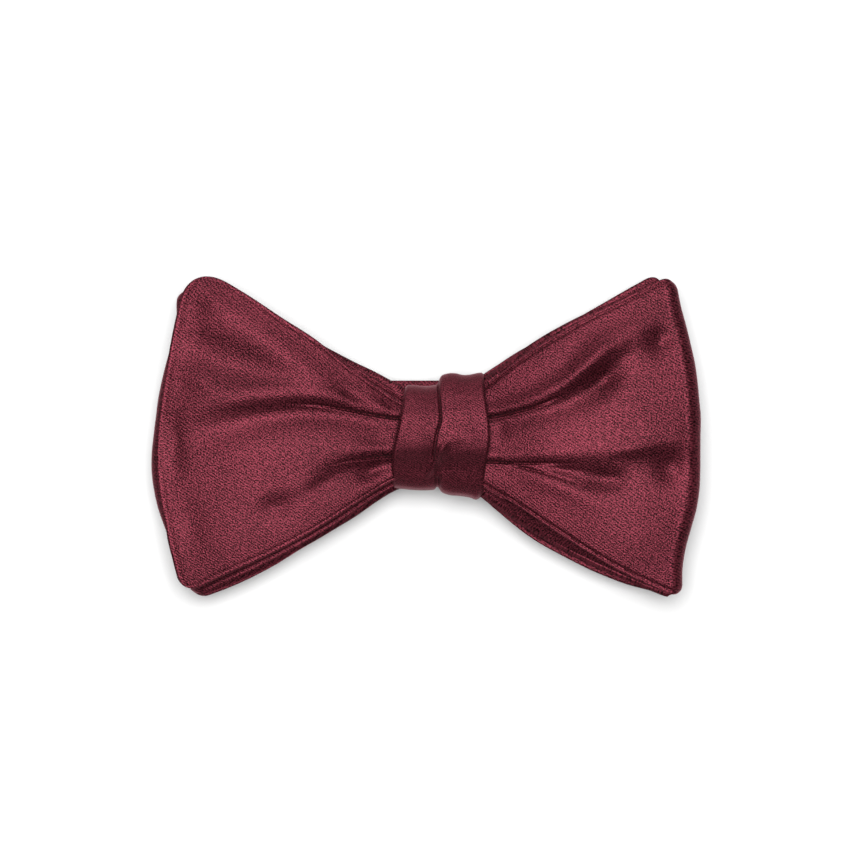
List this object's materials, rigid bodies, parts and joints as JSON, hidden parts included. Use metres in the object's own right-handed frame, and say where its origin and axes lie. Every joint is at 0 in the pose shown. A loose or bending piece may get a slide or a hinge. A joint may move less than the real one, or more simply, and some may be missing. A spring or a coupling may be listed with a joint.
{
  "type": "bow tie",
  "caption": "Ready-tied butterfly bow tie in satin, with folded loops and flat ends gathered into a soft knot, on an adjustable neckband folded behind it.",
  "frame": {"origin": "under the middle of the bow, on the surface the folded neckband rests on", "axes": "+X across the bow towards the wing whose front is a loop, +Y towards the bow's upper edge, +Z out of the bow's front; the bow lies on its back"},
  "size_m": [0.121, 0.0705, 0.0249],
  "materials": {
    "satin": "burgundy satin, soft sheen",
    "interlining": "unbleached brushed interlining",
    "thread": "burgundy sewing thread",
    "nickel": "bright nickel plate on stamped steel"
  },
  "bodies": {
    "bow": {"front_blade_face": "satin", "front_blade_interlining": "interlining", "front_blade_back": "satin", "front_loop_face": "satin", "front_loop_interlining": "interlining", "front_loop_lining": "satin", "rear_loop_face": "satin", "rear_loop_interlining": "interlining", "rear_loop_lining": "satin", "rear_blade_face": "satin", "rear_blade_interlining": "interlining", "rear_blade_back": "satin", "knot_wrap": "satin", "knot_interlining": "interlining", "waist_binding": "thread", "wrap_stitches": "thread", "center_band": "satin", "center_band_interlining": "interlining"},
    "hook_side_band": {"hook_band": "satin", "hook_band_interlining": "interlining", "hook_bar_tack": "thread"},
    "hook": {"neck_hook": "nickel"},
    "slide_side_band": {"slide_band": "satin", "slide_band_interlining": "interlining", "strap_near_run": "satin"},
    "slide": {"band_slide": "nickel", "strap_crossing": "satin", "tail_loop": "satin", "strap_far_run": "satin", "tail_run": "satin"},
    "strap_end": {"ring_turn": "satin"},
    "ring": {"neck_ring": "nickel"}
  },
  "joints": [
    {"name": "hook_band_unfold", "type": "hinge", "parent": "bow", "child": "hook_side_band", "pos_m": [-0.0533, 0, 0.00855], "axis": [0, 1, 0], "range_deg": [0, 90]},
    {"name": "hook_swing", "type": "hinge", "parent": "hook_side_band", "child": "hook", "pos_m": [-0.015, 0, 0.00165], "axis": [0, 1, 0], "range_deg": [0, 70]},
    {"name": "slide_band_unfold", "type": "hinge", "parent": "bow", "child": "slide_side_band", "pos_m": [0.0533, 0, 0.00855], "axis": [0, -1, 0], "range_deg": [0, 90]},
    {"name": "slide_travel", "type": "slide", "parent": "slide_side_band", "child": "slide", "axis": [1, 0, 0], "range_m": [-0.005, 0.0135], "deforming": ["strap_near_run"]},
    {"name": "strap_end_travel", "type": "slide", "parent": "slide", "child": "strap_end", "axis": [1, 0, 0], "range_m": [-0.00675, 0.0025], "deforming": ["strap_far_run", "tail_run"]},
    {"name": "ring_swing", "type": "hinge", "parent": "strap_end", "child": "ring", "pos_m": [0.015, 0, 0.00165], "axis": [0, -1, 0], "range_deg": [0, 70]}
  ],
  "couplings": [
    {"joint": "strap_end_travel", "follows": "slide_travel", "ratio": -0.5}
  ]
}
